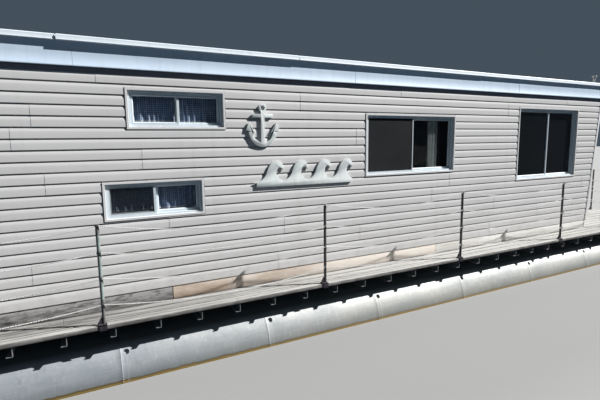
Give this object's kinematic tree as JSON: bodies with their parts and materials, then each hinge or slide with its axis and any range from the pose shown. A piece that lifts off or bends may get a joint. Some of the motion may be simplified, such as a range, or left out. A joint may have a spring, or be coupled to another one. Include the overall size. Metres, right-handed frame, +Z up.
{
  "type": "houseboat on twin pontoons",
  "caption": "Houseboat with a long sided cabin on a planked deck over steel pontoons, rope guard rails, a sliding bow door, a hinged stern door and an outboard.",
  "frame": {"origin": "amidships on the centreline, at the level of the pontoons' undersides", "axes": "+X to the bow, +Y to port, +Z up"},
  "size_m": [15, 4.04, 3.7803],
  "materials": {
    "pontoon_plate": "dull plate with weld seams and a stained waterline",
    "galvanised_steel": "weathered zinc",
    "deck_plank": "sun-bleached grey softwood",
    "floor_board": "plain boards",
    "siding": "light grey lap siding",
    "window_frame": "white, slightly dirty",
    "window_glass": "clear over a dark room",
    "curtain_cloth": "navy cloth with paler stripes and white hems",
    "old_board": "weathered grey board",
    "new_board": "fresh tan board",
    "roof_sheet": "grey rolled roofing",
    "fascia_metal": "white coil metal",
    "edge_metal": "bright white drip edge",
    "guard_rope": "pale grey three-strand rope",
    "ornament_sheet": "pale grey sheet",
    "motor_alloy": "satin casting",
    "motor_paint": "dark gloss paint"
  },
  "bodies": {
    "hull": {"pontoon_starboard": "pontoon_plate", "pontoon_port": "pontoon_plate", "deck_frame": "galvanised_steel", "walkway_starboard": "deck_plank", "walkway_port": "deck_plank", "bow_deck": "deck_plank", "stern_deck": "deck_plank", "cabin_floor": "floor_board", "wall_starboard": "siding", "wall_port": "siding", "wall_stern": "siding", "wall_bow": "siding", "frame_high_starboard": "window_frame", "frame_high_port": "window_frame", "frame_low_starboard": "window_frame", "frame_low_port": "window_frame", "frame_middle_starboard": "window_frame", "frame_middle_port": "window_frame", "frame_forward_starboard": "window_frame", "frame_forward_port": "window_frame", "glass_high_starboard": "window_glass", "glass_high_port": "window_glass", "glass_low_starboard": "window_glass", "glass_low_port": "window_glass", "glass_middle_starboard": "window_glass", "glass_middle_port": "window_glass", "glass_forward_starboard": "window_glass", "glass_forward_port": "window_glass", "curtain_high_starboard": "curtain_cloth", "curtain_high_port": "curtain_cloth", "curtain_low_starboard": "curtain_cloth", "curtain_low_port": "curtain_cloth", "skirt_aft_starboard": "old_board", "skirt_middle_starboard": "new_board", "skirt_forward_starboard": "old_board", "skirt_port": "old_board", "roof_panel": "roof_sheet", "roof_fascia": "fascia_metal", "roof_edge": "edge_metal", "roof_vent": "galvanised_steel", "guard_rope_starboard": "guard_rope", "guard_rope_port": "guard_rope", "ornament_anchor": "ornament_sheet", "ornament_waves": "ornament_sheet", "stern_door_frame": "window_frame", "bow_door_frame": "window_frame", "bow_door_fixed_glass": "window_glass", "motor_bracket": "galvanised_steel", "outboard_clamp": "motor_alloy"},
    "swivel": {"outboard_swivel": "motor_alloy"},
    "engine": {"outboard_engine": "motor_paint"},
    "propeller": {"propeller": "motor_alloy"},
    "bow_slider": {"bow_door_slider": "window_frame", "bow_door_slider_glass": "window_glass"},
    "stern_leaf": {"stern_door_leaf": "window_frame", "stern_door_glass": "window_glass"}
  },
  "joints": [
    {"name": "outboard_tilt", "type": "hinge", "parent": "hull", "child": "swivel", "pos_m": [-7.02, 0, 1.065], "axis": [0, 1, 0], "range_deg": [0, 60]},
    {"name": "outboard_steer", "type": "hinge", "parent": "swivel", "child": "engine", "pos_m": [-7.115, 0, 0.95], "axis": [0, 0, 1], "range_deg": [-35, 35]},
    {"name": "propeller_spin", "type": "hinge", "parent": "engine", "child": "propeller", "pos_m": [-7.448, 0, 0.235], "axis": [1, 0, 0], "continuous": true},
    {"name": "bow_door_slide", "type": "slide", "parent": "hull", "child": "bow_slider", "axis": [0, -1, 0], "range_m": [0, 0.75]},
    {"name": "stern_door_hinge", "type": "hinge", "parent": "hull", "child": "stern_leaf", "pos_m": [-5.395, 0.366, 2.1], "axis": [0, 0, -1], "range_deg": [0, 100]}
  ]
}
